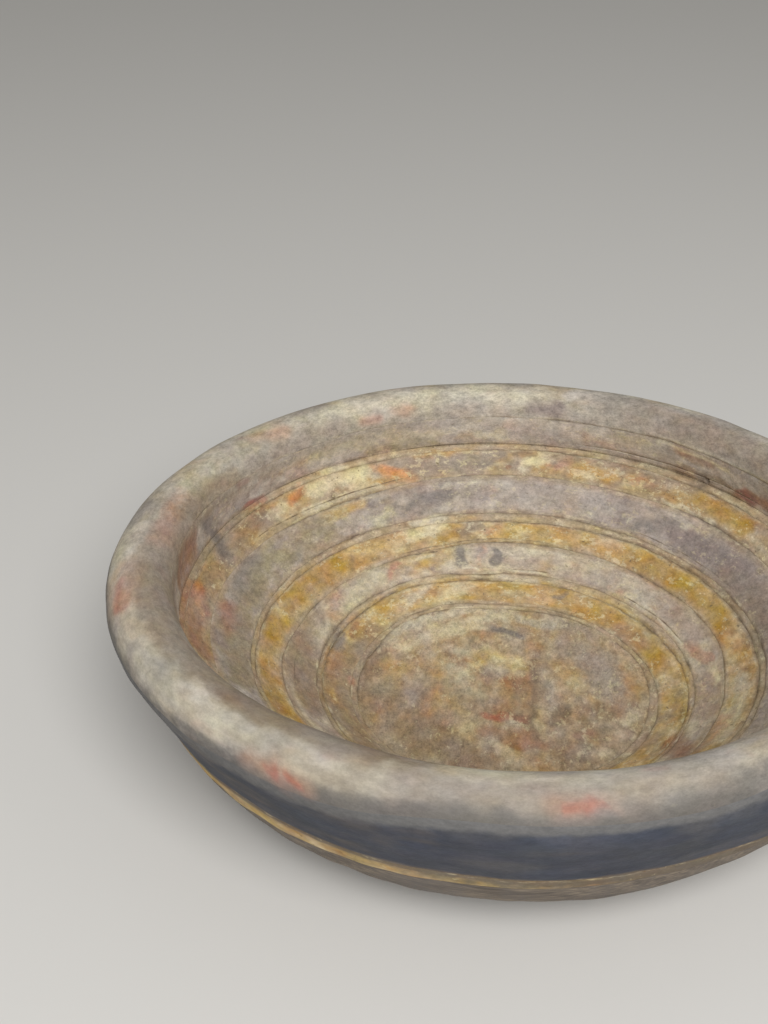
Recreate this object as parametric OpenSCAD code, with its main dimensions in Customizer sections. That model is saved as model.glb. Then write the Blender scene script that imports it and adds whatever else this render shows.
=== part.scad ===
// Carved wooden bowl: one thick body of wood, ringed with scribed lines and painted in bands.
// Millimetres, +Z up. The origin is the centre of the flat base, where the bowl meets the table.
// The profile runs from the middle of the floor, up the wall, over the rim and down the outside.
// Each band of paint is its own thin coat, let into the wood between the scribed lines.

/* [Bowl] */
// Diameter over the outside of the rim
rim_d = 320; // [296:1:344]
// Height from the table to the top of the rim
bowl_h = 86; // [78:1:98]
// Diameter of the flat base
base_d = 206; // [170:1:236]
// Wood left under the middle of the floor
floor_t = 10; // [7:0.5:16]

/* [Rim and outside] */
// Thickness of the rounded rim
rim_t = 25; // [20:0.5:30]
// Diameter at the shoulder line, low on the outside
shoulder_d = 291; // [268:1:304]
// Height of the shoulder line above the table
shoulder_h = 43; // [34:0.5:50]
// Bulge of the outside between the shoulder line and the base
belly = 6.5; // [2:0.5:10]
// Angle above the rim's widest point where the pale wash meets the slate band
rim_edge_angle = 16; // [0:1:40]
// Width of the ochre line below the shoulder
shoulder_stripe_w = 4; // [2:0.5:8]

/* [Inside] */
// Diameter of the floor disc
floor_d = 126; // [108:1:142]
// Depth of the dish in the floor
floor_dish = 2; // [0.5:0.5:4]
// Depth from the top of the rim to the foot of the upright collar
collar_drop = 26.5; // [23:0.5:31]
// How far the collar's foot stands back under the rounded rim
collar_back = 1.5; // [0:0.5:4]
// Slope of the wall where it leaves the floor, in degrees
foot_slope = 19; // [10:1:26]
// Slope of the wall where it meets the collar, in degrees
top_slope = 31; // [24:1:40]

/* [Scribed lines] */
// Width of a scribed line
line_w = 1.2; // [0.8:0.1:1.8]
// Depth of a scribed line
line_depth = 0.9; // [0.7:0.1:1.4]
// Spacing of the two lines in a pair
pair_gap = 2.4; // [2.1:0.1:4]
// Spacing of the two lines at the collar's foot
corner_gap = 3.2; // [2.4:0.1:5]
// Angle above the rim's innermost point of the line inside the rim
rim_line_angle = 6; // [5:1:40]

/* [Painted bands] */
// Width of the ochre band next to the floor, between the middles of its lines, seen from above
inner_ochre_w = 11.6; // [7:0.2:15]
// Width of the grey-white band
grey_w = 12.6; // [8:0.2:16]
// Width of the second ochre band
outer_ochre_w = 10.2; // [6:0.2:14]
// Width of the patchy ochre band at the top of the wall; the mauve band fills the space below it
upper_ochre_w = 12; // [8:0.2:16]
// Thickness of each coat
coat_t = 0.4; // [0.2:0.05:0.6]

/* [Hidden] */
$fn = 180;
wood_color = [0.55, 0.45, 0.34];
floor_color = [0.58, 0.48, 0.33];
pale_color = [0.72, 0.67, 0.57];
ochre_color = [0.74, 0.58, 0.28];
grey_color = [0.64, 0.60, 0.52];
mauve_color = [0.57, 0.52, 0.50];
cream_color = [0.70, 0.64, 0.53];
slate_color = [0.32, 0.33, 0.36];

// Radii and heights that everything below is built on
rim_r = rim_d / 2;
roll_r = rim_t / 2;
roll_x = rim_r - roll_r;
roll_z = bowl_h - roll_r;
floor_r = floor_d / 2;
floor_z = floor_t + floor_dish;
foot_x = rim_r - rim_t + collar_back;
foot_z = bowl_h - collar_drop;
wall_w = foot_x - floor_r;
wall_h = foot_z - floor_z;
half_line = line_w / 2;

// The collar rises from its foot and runs into the roll of the rim as a tangent
collar_far = norm([roll_x - foot_x, roll_z - foot_z]);
collar_dir = atan2(roll_z - foot_z, roll_x - foot_x) + asin(roll_r / collar_far);
collar_len = sqrt(collar_far * collar_far - roll_r * roll_r);

// The outside leaves the roll as a tangent and runs down to the shoulder
shoulder = [shoulder_d / 2, shoulder_h];
fascia_far = norm([roll_x - shoulder[0], roll_z - shoulder[1]]);
fascia_dir = atan2(roll_z - shoulder[1], roll_x - shoulder[0]) - asin(roll_r / fascia_far);
fascia_len = sqrt(fascia_far * fascia_far - roll_r * roll_r);

// Below the shoulder the outside is one arc down to the edge of the base
base_edge = [base_d / 2, 0];
chord = base_edge - shoulder;
chord_len = norm(chord);
belly_in = [chord[1], -chord[0]] / chord_len;
belly_r = (chord_len * chord_len / 4 + belly * belly) / (2 * belly);
belly_c = (shoulder + base_edge) / 2 + (belly_r - belly) * belly_in;
belly_half = asin(chord_len / 2 / belly_r);
belly_mid = atan2(-belly_in[1], -belly_in[0]);
belly_len = belly_r * 2 * belly_half * PI / 180;

// A place on the profile is [x, z, direction x, direction z], with the wood on the right of the direction
function place(p, d) = [p[0], p[1], d[0] / norm(d), d[1] / norm(d)];

// The surface point of a place, and the point a given depth below it in the wood
function face(q) = [q[0], q[1]];
function sunk(q, depth) = [q[0] + depth * q[3], q[1] - depth * q[2]];

// Slightly dished floor, at radius x
function on_floor(x) =
    place([x, floor_z - floor_dish * (1 - pow(x / floor_r, 2))], [1, 2 * floor_dish * x / pow(floor_r, 2)]);

// Wall as one cubic curve from the floor's edge to the collar's foot, at share u of its width
function wall_z(u) =
    wall_h * (3 * pow(u, 2) - 2 * pow(u, 3))
    + tan(foot_slope) * wall_w * (pow(u, 3) - 2 * pow(u, 2) + u)
    + tan(top_slope) * wall_w * (pow(u, 3) - pow(u, 2));
function wall_rise(u) =
    wall_h * (6 * u - 6 * pow(u, 2))
    + tan(foot_slope) * wall_w * (3 * pow(u, 2) - 4 * u + 1)
    + tan(top_slope) * wall_w * (3 * pow(u, 2) - 2 * u);
function on_wall(x) =
    let (u = (x - floor_r) / wall_w)
    place([x, floor_z + wall_z(u)], [wall_w, wall_rise(u)]);

// Collar, at distance s above its foot
function on_collar(s) =
    let (d = [cos(collar_dir), sin(collar_dir)])
    place([foot_x, foot_z] + s * d, d);

// Corner between wall and collar, facing half way between the two
function in_corner() =
    let (a = on_wall(foot_x), b = on_collar(0))
    place([foot_x, foot_z], [a[2] + b[2], a[3] + b[3]]);

// Rounded rim, at angle a round its roll
function on_roll(a) = place([roll_x + roll_r * cos(a), roll_z + roll_r * sin(a)], [sin(a), -cos(a)]);

// Outside band, at distance s above the shoulder
function on_fascia(s) =
    let (d = [cos(fascia_dir), sin(fascia_dir)])
    place(shoulder + s * d, -d);

// Outside below the shoulder, at distance s down from it
function on_belly(s) =
    let (a = belly_mid + belly_half * (1 - 2 * s / belly_len))
    place(belly_c + belly_r * [cos(a), sin(a)], [sin(a), -cos(a)]);

// Even steps from a to b
function steps(a, b, n) = [for (i = [0 : n]) a + (b - a) * i / n];

// Middles of the scribed lines
x_floor = floor_r;
x_floor_2 = x_floor + pair_gap;
x_1 = x_floor_2 + inner_ochre_w;
x_1_2 = x_1 + pair_gap;
x_2 = x_1_2 + grey_w;
x_3 = x_2 + outer_ochre_w;
x_3_2 = x_3 + pair_gap;
x_5 = foot_x - corner_gap;
x_4 = x_5 - upper_ochre_w;
a_7 = 180 - rim_line_angle;
half_a = half_line / roll_r * 180 / PI;

// Bands of paint between the lines
floor_path = [for (x = steps(0, x_floor - half_line, 6)) on_floor(x)];
floor_strip_path = [for (x = steps(x_floor + half_line, x_floor_2 - half_line, 1)) on_wall(x)];
inner_ochre_path = [for (x = steps(x_floor_2 + half_line, x_1 - half_line, 3)) on_wall(x)];
lower_strip_path = [for (x = steps(x_1 + half_line, x_1_2 - half_line, 1)) on_wall(x)];
grey_path = [for (x = steps(x_1_2 + half_line, x_2 - half_line, 3)) on_wall(x)];
outer_ochre_path = [for (x = steps(x_2 + half_line, x_3 - half_line, 3)) on_wall(x)];
middle_strip_path = [for (x = steps(x_3 + half_line, x_3_2 - half_line, 1)) on_wall(x)];
mauve_path = [for (x = steps(x_3_2 + half_line, x_4 - half_line, 4)) on_wall(x)];
upper_ochre_path = [for (x = steps(x_4 + half_line, x_5 - half_line, 3)) on_wall(x)];
corner_path = [for (x = steps(x_5 + half_line, foot_x - half_line, 1)) on_wall(x)];
collar_path = concat(
    [for (s = steps(half_line, collar_len, 1)) on_collar(s)],
    [for (a = steps(collar_dir + 90, a_7 + half_a, 4)) if (a < collar_dir + 89.99) on_roll(a)]
);
rim_path = concat(
    [for (a = steps(a_7 - half_a, 90, 10)) on_roll(a)],
    [for (a = steps(90, rim_edge_angle, 10)) if (a < 90) on_roll(a)]
);
slate_path = concat(
    [for (a = steps(rim_edge_angle, fascia_dir - 90, 8)) on_roll(a)],
    [on_fascia(half_line)]
);
stripe_path = [for (s = steps(half_line, half_line + shoulder_stripe_w, 1)) on_belly(s)];
bare_path = [for (s = steps(half_line + shoulder_stripe_w, belly_len, 10)) on_belly(s)];

// Places where a scribed line is cut, in the order they are met
cuts = [
    on_wall(x_floor), on_wall(x_floor_2), on_wall(x_1), on_wall(x_1_2), on_wall(x_2), on_wall(x_3),
    on_wall(x_3_2), on_wall(x_4), on_wall(x_5), in_corner(), on_roll(a_7)
];

// Seat left in the wood for one coat, and the bottom of one scribed line
function seat(path) = [for (q = path) sunk(q, coat_t)];
function cut(i) = [sunk(cuts[i], line_depth)];

body_profile = concat(
    seat(floor_path), cut(0), seat(floor_strip_path), cut(1), seat(inner_ochre_path), cut(2),
    seat(lower_strip_path), cut(3), seat(grey_path), cut(4), seat(outer_ochre_path), cut(5),
    seat(middle_strip_path), cut(6), seat(mauve_path), cut(7), seat(upper_ochre_path), cut(8),
    seat(corner_path), cut(9), seat(collar_path), cut(10), seat(rim_path),
    [for (i = [1 : len(slate_path) - 1]) sunk(slate_path[i], coat_t)],
    [sunk(on_belly(0), line_depth)],
    seat(stripe_path),
    [for (q = bare_path) face(q)],
    [[0, 0]]
);

// One band of paint, as thick as the seat that it lies in
module coat(path) {
    rotate_extrude()
        polygon(concat([for (q = path) face(q)], [for (i = [len(path) - 1 : -1 : 0]) sunk(path[i], coat_t)]));
}

// The wood, cut in one piece
module bowl_body() {
    color(wood_color)
        rotate_extrude()
            polygon(body_profile);
}

// Mottled brown ground on the floor
module floor_coat() {
    color(floor_color) coat(floor_path);
}

// Narrow strip between the two lines round the floor
module floor_strip_coat() {
    color(cream_color) coat(floor_strip_path);
}

// Ochre band next to the floor
module inner_ochre_coat() {
    color(ochre_color) coat(inner_ochre_path);
}

// Narrow strip in the first pair of lines on the wall
module lower_strip_coat() {
    color(cream_color) coat(lower_strip_path);
}

// Grey-white band
module grey_coat() {
    color(grey_color) coat(grey_path);
}

// Second ochre band
module outer_ochre_coat() {
    color(ochre_color) coat(outer_ochre_path);
}

// Narrow strip in the second pair of lines on the wall
module middle_strip_coat() {
    color(cream_color) coat(middle_strip_path);
}

// Wide grey-mauve band
module mauve_coat() {
    color(mauve_color) coat(mauve_path);
}

// Patchy ochre band at the top of the wall
module upper_ochre_coat() {
    color(ochre_color) coat(upper_ochre_path);
}

// Narrow strip between the two lines at the collar's foot
module corner_coat() {
    color(cream_color) coat(corner_path);
}

// Grey-mauve band on the upright collar
module collar_coat() {
    color(mauve_color) coat(collar_path);
}

// Pale wash over the rim
module rim_coat() {
    color(pale_color) coat(rim_path);
}

// Slate band under the rim on the outside
module slate_coat() {
    color(slate_color) coat(slate_path);
}

// Ochre line below the shoulder
module shoulder_stripe_coat() {
    color(ochre_color) coat(stripe_path);
}

bowl_body();
floor_coat();
floor_strip_coat();
inner_ochre_coat();
lower_strip_coat();
grey_coat();
outer_ochre_coat();
middle_strip_coat();
mauve_coat();
upper_ochre_coat();
corner_coat();
collar_coat();
rim_coat();
slate_coat();
shoulder_stripe_coat();
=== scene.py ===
# %% [markdown]
# # A carved and painted wooden bowl
# This lesson dresses the plain model of a thick, hand-carved wooden bowl. The bowl is one piece
# of wood. Rings are scribed into it, and thin coats of dry earth paint lie between the rings.
# The plain model is loaded first and never changed: every new piece is made in the same frame,
# in metres, and hides the plain piece that it stands for.

# %% Load the plain model
import math

import bpy
import numpy as np
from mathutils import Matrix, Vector


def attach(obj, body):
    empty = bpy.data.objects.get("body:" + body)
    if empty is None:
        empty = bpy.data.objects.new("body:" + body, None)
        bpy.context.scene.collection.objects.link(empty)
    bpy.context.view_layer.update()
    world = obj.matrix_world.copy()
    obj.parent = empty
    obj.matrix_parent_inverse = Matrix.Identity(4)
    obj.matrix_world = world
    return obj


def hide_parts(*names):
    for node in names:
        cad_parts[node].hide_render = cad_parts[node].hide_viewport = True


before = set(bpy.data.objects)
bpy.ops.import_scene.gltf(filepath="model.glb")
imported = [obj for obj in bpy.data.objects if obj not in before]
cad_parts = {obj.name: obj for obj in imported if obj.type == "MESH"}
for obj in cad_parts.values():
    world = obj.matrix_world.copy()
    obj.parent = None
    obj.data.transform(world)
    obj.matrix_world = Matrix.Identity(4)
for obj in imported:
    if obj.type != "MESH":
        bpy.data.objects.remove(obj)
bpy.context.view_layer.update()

MM = 0.001
print("plain pieces:", ", ".join(sorted(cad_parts)))

# %% [markdown]
# ## The section of the bowl
# A round bowl is known from its section: the line from the middle of the floor, up the wall,
# over the rim and down the outside. Blender could spin a curve with a Screw modifier, but here
# the section is kept as numbers, because the lines, the coats and the wear all follow it.

# %% Sizes of the section in millimetres
rim_d, bowl_h, base_d = 320.0, 86.0, 206.0
floor_d, floor_t, floor_dish = 126.0, 10.0, 2.0
collar_drop, collar_back = 26.5, 1.5
foot_slope, top_slope = math.radians(19.0), math.radians(31.0)
rim_t = 25.0
shoulder_d, shoulder_h, belly = 291.0, 43.0, 6.5

roll_r = rim_t / 2
roll_x, roll_z = rim_d / 2 - roll_r, bowl_h - roll_r
floor_r, floor_z = floor_d / 2, floor_t + floor_dish
foot_x, foot_z = rim_d / 2 - rim_t + collar_back, bowl_h - collar_drop
wall_w, wall_h = foot_x - floor_r, foot_z - floor_z
print("floor radius", floor_r, "wall", wall_w, "wide and", wall_h, "high")

# %% The inside: dished floor, one long curve of wall, upright collar
x = np.linspace(0, floor_r, 250)
floor_line = np.stack([x, floor_z - floor_dish * (1 - (x / floor_r) ** 2)], -1)

u = np.linspace(0, 1, 350)[1:]
rise = wall_h * (3 * u**2 - 2 * u**3)
rise += math.tan(foot_slope) * wall_w * (u**3 - 2 * u**2 + u)
rise += math.tan(top_slope) * wall_w * (u**3 - u**2)
wall_line = np.stack([floor_r + u * wall_w, floor_z + rise], -1)

far = math.hypot(roll_x - foot_x, roll_z - foot_z)
collar_dir = math.atan2(roll_z - foot_z, roll_x - foot_x) + math.asin(roll_r / far)
t = np.linspace(0, math.sqrt(far**2 - roll_r**2), 50)[1:, None]
collar_line = [foot_x, foot_z] + t * [math.cos(collar_dir), math.sin(collar_dir)]

# %% The outside: rolled rim, sloping band, shoulder, belly
shoulder = np.array([shoulder_d / 2, shoulder_h])
far = math.hypot(roll_x - shoulder[0], roll_z - shoulder[1])
band_dir = math.atan2(roll_z - shoulder[1], roll_x - shoulder[0]) - math.asin(roll_r / far)

turn = np.linspace(collar_dir + math.pi / 2, band_dir - math.pi / 2, 190)[1:]
roll_line = [roll_x, roll_z] + roll_r * np.stack([np.cos(turn), np.sin(turn)], -1)

t = np.linspace(math.sqrt(far**2 - roll_r**2), 0, 110)[1:, None]
band_line = shoulder + t * [math.cos(band_dir), math.sin(band_dir)]

chord = np.array([base_d / 2, 0.0]) - shoulder
chord_len = math.hypot(*chord)
inside_way = np.array([chord[1], -chord[0]]) / chord_len
arc_r = (chord_len**2 / 4 + belly**2) / (2 * belly)
arc_mid = shoulder + chord / 2 + (arc_r - belly) * inside_way
half_turn = math.asin(chord_len / 2 / arc_r)
turn = math.atan2(-inside_way[1], -inside_way[0]) + half_turn * np.linspace(1, -1, 250)[1:]
belly_line = arc_mid + arc_r * np.stack([np.cos(turn), np.sin(turn)], -1)

# %% Join the section and measure along it
stretches = {
    "floor": floor_line, "wall": wall_line, "collar": collar_line,
    "roll": roll_line, "band": band_line, "belly": belly_line,
}
section = np.vstack(list(stretches.values()))
along = np.concatenate([[0], np.cumsum(np.hypot(*np.diff(section, axis=0).T))])
ends = np.cumsum([len(v) for v in stretches.values()]) - 1
end_of = dict(zip(stretches, along[ends]))
heading = np.gradient(section, along, axis=0)
heading /= np.hypot(*heading.T)[:, None]
into_wood = np.stack([heading[:, 1], -heading[:, 0]], -1)
print("ends along the section in mm:", {k: round(v, 1) for k, v in end_of.items()})


def at(s):
    """Radius, height and the way into the wood at distance s along the section."""
    columns = (section[:, 0], section[:, 1], into_wood[:, 0], into_wood[:, 1])
    return [np.interp(s, along, c) for c in columns]


def smooth(low, high, value):
    """0 below low, 1 above high and an even S between, like the shader's smooth step."""
    t = np.clip((value - low) / (high - low), 0, 1)
    return t * t * (3 - 2 * t)


# %% [markdown]
# ## What the hand left
# A bowl carved by hand isn't a true circle. Its far left edge is cut back a little, the far
# right stands a little higher, the corner under the rim is fuller on the left, the outside swells
# on the near right, and every surface rises and falls by a fraction of a millimetre. A Displace
# modifier could do that too, but the wood and the paint on it have to move together, so one
# function bends them both. Worm holes and pricks are real pits in the mesh.

# %% Columns round the bowl, closer together at the holes
# Each hole: azimuth in degrees, distance along the section, radius and depth in mm
holes = [
    (49.0, 152.6, 1.5, 1.5), (-10.0, 42.1, 1.2, 1.0), (133.0, 135.8, 0.7, 0.6),
    (101.0, 105.0, 0.6, 0.5), (24.0, 129.0, 0.6, 0.5), (-128.0, 258.0, 1.3, 1.6),
    (64.0, 271.0, 1.1, 1.4),
]
STEP, CLOSEST = 0.5, 0.12  # degrees between columns, and the least that is kept
wanted = set(np.arange(-180, 180, STEP))
for azimuth, s, size, depth in holes:
    for share in (-1.4, -1.0, -0.7, -0.35, 0, 0.35, 0.7, 1.0, 1.4):
        wanted.add(azimuth + math.degrees(share * size / at(s)[0]))
columns = []
for azimuth in sorted(wanted):
    if not columns or azimuth - columns[-1] > CLOSEST:
        columns.append(azimuth)
azimuths = np.array(columns)
turns = np.radians(azimuths)
print(len(azimuths), "columns round the bowl")


def from_azimuth(azimuth):
    """Degrees from an azimuth to each column, the short way round."""
    return (azimuths - azimuth + 180) % 360 - 180


def hump(value, middle, spread):
    """1 at the middle, fading to nothing about two spreads away."""
    return np.exp(-((value - middle) / spread) ** 2)


def near(azimuth, spread):
    """The same round the bowl, in degrees."""
    return hump(from_azimuth(azimuth), 0, spread)


def around(r, z):
    """Points round the bowl at radius r and height z."""
    return np.stack([r * np.cos(turns), r * np.sin(turns), z + 0 * turns], -1)


# %% The unevenness of the carving
WAVES, LONGEST, SHORTEST = 26, 110, 14  # number of waves, and their lengths in mm
rng = np.random.default_rng(11)
wave_ways = rng.normal(size=(WAVES, 3))
wave_ways /= np.linalg.norm(wave_ways, axis=1)[:, None]
wave_lengths = np.geomspace(LONGEST, SHORTEST, WAVES)
wave_starts = rng.uniform(0, 2 * math.pi, WAVES)
wave_depths = 0.11 * (wave_lengths / LONGEST) ** 0.75


def unevenness(points):
    """How far the cut surface lies below the true one, in mm."""
    angle = points @ (wave_ways / wave_lengths[:, None]).T * 2 * math.pi + wave_starts
    return np.cos(angle) @ wave_depths


# %% Bend a row of points the way the hand did
# Large departures from the true circle at each column, in mm
cut_back = -1.5 * near(140, 32) + 0.5 * near(50, 25)
raised = 0.6 * near(55, 28) - 0.5 * near(150, 30)
swell, full_corner = 4.0 * near(-38, 18), near(-176, 34)
SCOOP_DEPTH, SCOOPS = 0.16, 46  # depth of the gouge marks in mm, and how many go round


def carved(s, depth=0.0):
    """One row of points round the bowl at s along the section and a depth into the wood."""
    s, depth = np.broadcast_to(s, turns.shape), np.broadcast_to(depth, turns.shape)
    r, z, way_r, way_z = at(s)
    depth = depth + unevenness(around(r, z))
    for azimuth, hole_s, size, hole_depth in holes:
        away = np.hypot(np.radians(from_azimuth(azimuth)) * r, s - hole_s)
        depth = depth + hole_depth * (1 - smooth(0.25 * size, 1.1 * size, away))
    # Gouge marks on the bare wood of the outside
    bare = smooth(end_of["band"] + 3, end_of["band"] + 12, s)
    scoop = np.cos(SCOOPS * turns + 5 * np.sin(s / 11.0)) * np.cos(s / 7.5 + 2 * np.cos(3 * turns))
    depth = depth + bare * SCOOP_DEPTH * scoop
    r, z = r + depth * way_r, z + depth * way_z
    # Less wood was taken out of the corner under the rim on the left, and it is rounder there
    r = r - full_corner * (2.4 * hump(s, 152, 13) + 1.5 * hump(s, end_of["wall"], 5))
    # The outside swells from below the rim on, and the swelling runs out towards the base
    r = r + swell * smooth(203, 232, s) * (1 - smooth(240, along[-1], s))
    # What the rim does fades out between 80 and 25 mm of height
    high = smooth(25, 80, z)
    return around(r + high * cut_back, np.maximum(z + high * raised, 0))


print("unevenness on the rim in mm:", np.round(np.ptp(unevenness(carved(187))), 2))

# %% [markdown]
# ## The scribed lines
# The rings were scribed by hand against a turning blank, singly or in pairs. The point wandered,
# so a line drifts, narrows and almost closes in places. Cutting grooves with a Boolean would be
# slow and leave a rough mesh. Here each line is a row of its own in the wood's mesh, sunk
# below its neighbours, and the coats on both sides dip towards it and stop at its edges.

# %% Where each line runs
# Azimuth in degrees, distance along the section in mm, and how open the line is, from 0 to 1.
# Below 0 the line stays shut
wall_end, band_end = end_of["wall"], end_of["band"]
traced = {
    "floor_edge": [
        (-150, 62.6, 0.3), (-60, 62.0, 0.4), (-5, 61.3, 0.5), (20, 63.2, 0.4), (60, 63.1, 0.5),
        (74, 62.6, 0.8), (85, 61.3, 0.8), (100, 62.4, 0.2), (116, 64.2, 0.4), (140, 63.9, 0.4),
        (150, 62.3, 0.7), (158, 61.1, 0.8), (180, 61.4, 0.6)],
    "floor_edge_2": [
        (-150, 65.2, 0.2), (-5, 65.2, 0.6), (20, 65.4, 0.5), (66, 65.2, 0.5), (85, 64.2, 0.4),
        (97, 64.8, 0.5), (112, 66.9, 0.5), (130, 66.1, 0.3), (145, 65.4, 0.3), (160, 64.4, 0.1),
        (180, 64.4, 0.1)],
    "lower": [
        (-165, 77.7, 0.7), (-60, 78.2, 0.5), (5, 78.1, 0.7), (30, 77.7, 0.9), (65, 77.6, 0.5),
        (77, 78.0, 0.6), (86, 77.3, 0.5), (96, 77.8, 0.7), (112, 79.0, 0.9), (127, 80.0, 0.6),
        (140, 79.1, 0.8), (160, 77.8, 0.9), (180, 77.2, 0.8)],
    "lower_2": [
        (-165, 80.3, 0.5), (-20, 80.7, 0.5), (20, 81.3, 0.4), (60, 81.8, 0.35), (80, 82.0, 0.4),
        (95, 81.2, 0.6), (105, 81.2, 0.8), (112, 83.0, 0.3), (125, 83.2, 0.3), (148, 82.1, 0.8),
        (160, 80.7, 0.8), (180, 79.8, 0.7)],
    "grey_edge": [
        (-170, 97.4, 0.6), (-140, 96.5, 0.3), (-20, 93.8, 0.4), (0, 94.5, 0.5), (12, 96.8, 0.5),
        (45, 96.8, 0.6), (65, 97.7, 0.5), (98, 97.9, 0.6), (108, 96.4, 0.4), (125, 95.3, 0.3),
        (145, 94.6, 0.3), (170, 94.3, 0.3)],
    "middle": [
        (-178, 109.4, 0.6), (-155, 111.0, 0.4), (-60, 109.5, 0.4), (22, 109.6, 0.9),
        (45, 110.2, 0.9), (65, 109.5, 0.7), (90, 108.7, 0.6), (105, 108.9, 0.3),
        (120, 109.0, 0.3), (170, 109.0, 0.6)],
    "middle_2": [
        (-178, 111.8, 0.4), (-155, 113.5, 0.4), (-60, 112.5, 0.4), (25, 112.8, 0.7),
        (45, 113.0, 0.4), (60, 112.8, 0.6), (80, 113.5, 0.7), (100, 113.0, 0.5),
        (120, 112.7, 0.3), (130, 113.0, 0.6), (150, 112.1, 0.5), (170, 111.6, 0.3)],
    "mauve_edge": [
        (-170, 132.5, -0.4), (-130, 132.5, 0.0), (0, 132.5, 0.3), (30, 133.4, 0.4),
        (48, 134.3, 0.8), (58, 132.7, 0.4), (90, 133.5, 0.2), (112, 132.5, 0.2),
        (118, 131.3, 0.6), (137, 130.7, 0.7), (155, 131.5, 0.3), (170, 132.3, -0.3)],
    "upper": [
        (-170, 147.0, -0.3), (-130, 147.0, 0.0), (0, 147.0, 0.4), (40, 147.3, 0.7),
        (54, 147.3, 0.6), (70, 147.5, 0.4), (88, 147.9, 0.6), (100, 147.0, 0.3),
        (112, 147.4, 0.3), (145, 147.2, 0.6), (172, 147.0, 0.5)],
    "corner": [
        (-170, wall_end, -0.2), (10, wall_end, 0.5), (60, wall_end, 0.6), (92, wall_end, 0.45),
        (106, wall_end, 0.35), (118, wall_end, 0.2), (150, wall_end, 0.25)],
    "rim_line": [
        (-170, 167.0, 0.05), (10, 166.5, 0.05), (35, 166.2, 0.55), (72, 165.6, 0.6),
        (95, 166.0, 0.1)],
    "shoulder": [
        (-150, band_end + 0.5, 0.3), (-90, band_end - 0.4, 0.5), (-30, band_end + 0.3, 0.3),
        (90, band_end, 0.4)],
}

# %% Smooth the corners of each line, and let the hand shake a little
def wander(reach, slowest, quickest):
    """A smooth random drift round the bowl, about reach mm to each side."""
    k = np.arange(slowest, quickest + 1)
    size = rng.normal(size=(len(k), 2)) / k[:, None] ** 0.6
    wave = np.cos(np.outer(turns, k)) @ size[:, 0] + np.sin(np.outer(turns, k)) @ size[:, 1]
    return reach * wave / np.abs(wave).max()


def eased(places, values):
    """Values between the traced places, with the corners rounded over ten degrees."""
    shifts = np.linspace(-5, 5, 11)
    return np.mean([np.interp(azimuths + d, places, values, period=360) for d in shifts], axis=0)


HALF, OPENING = 0.012, 0.02  # mm, half the width of a shut line, and what an open one adds
lines = {}
for name, marks in traced.items():
    places, distances, opens = zip(*marks)
    shake = 0.0 if name == "corner" else wander(0.22, 12, 40)
    open_share = np.clip(eased(places, opens) + wander(0.4, 6, 40), 0.02, 1)
    lines[name] = {"s": eased(places, distances) + shake, "open": open_share,
                   "half": HALF + OPENING * open_share}
print("lines in mm along the section:", {k: round(v["s"].mean(), 1) for k, v in lines.items()})

# %% [markdown]
# ## The coats of paint
# Between the lines lie fourteen thin coats. Each one is a closed ring 0.4 mm thick that sits in a
# shallow seat in the wood. Its edges are worn round where they meet a line, which catches
# the light as a thin pale rim.

# %% Edges of paint that follow no line
coat_t = 0.4  # mm of paint
zero = np.zeros_like(turns)
wash_places = (-170, -155, -140, -108, -97, -80, -62, -48, -20, 30, 120)
wash_edge = eased(wash_places, (202, 203.5, 204.5, 203.5, 199.2, 199.6, 200, 196.5, 196.5, 199.5, 200))
wash_edge = wash_edge + wander(0.6, 5, 24)
# The ochre stripe is smeared wider on the front left
stripe_end = end_of["band"] + 5.0 + wander(0.8, 2, 16) + 4.5 * near(-130, 30)

# %% First and last edge of each coat
# Each coat, its paint and the line that ends it, from the middle of the floor outwards
rings = [
    ("floor_coat", "floor_ground", "floor_edge"), ("floor_strip_coat", "cream_strip", "floor_edge_2"),
    ("inner_ochre_coat", "ochre", "lower"), ("lower_strip_coat", "cream_strip", "lower_2"),
    ("grey_coat", "grey_wash", "grey_edge"), ("outer_ochre_coat", "ochre", "middle"),
    ("middle_strip_coat", "cream_strip", "middle_2"), ("mauve_coat", "mauve_wash", "mauve_edge"),
    ("upper_ochre_coat", "patchy_ochre", "upper"), ("corner_coat", "cream_strip", "corner"),
    ("collar_coat", "mauve_wash", "rim_line"), ("rim_coat", "pale_wash", None),
    ("slate_coat", "slate_wash", "shoulder"), ("shoulder_stripe_coat", "ochre", None),
]
free_ends = {"rim_coat": wash_edge, "shoulder_stripe_coat": stripe_end}
coats, lines_beside, slot_of = {}, {}, {}
start, line_before = zero, None
for name, slot, line in rings:
    last = lines[line]["s"] - lines[line]["half"] if line else free_ends[name]
    coats[name], lines_beside[name], slot_of[name] = (start, last), (line_before, line), slot
    start = lines[line]["s"] + lines[line]["half"] if line else last
    line_before = line
    print(f"{name:22s} {np.mean(last - coats[name][0]):5.1f} mm wide")

# %% How the surface dips towards a line
VALLEY, VALLEY_W = 0.5, 1.6  # depth and reach in mm
FAR = 30.0  # mm, for a place with no line beside it


def to_line(name, s):
    """Distance in mm from the nearest line of a coat. A shut line counts as farther away."""
    distances = [zero + FAR]
    for edge, line in zip(coats[name], lines_beside[name]):
        if line:
            distances.append(np.abs(s - edge) + 0.9 * VALLEY_W * (1 - lines[line]["open"]))
    return np.minimum.reduce(distances)


def sunk(name, s):
    """How far a coat and the wood under it dip at s, in mm."""
    return VALLEY * (1 - smooth(0, VALLEY_W, to_line(name, s)))


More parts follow.
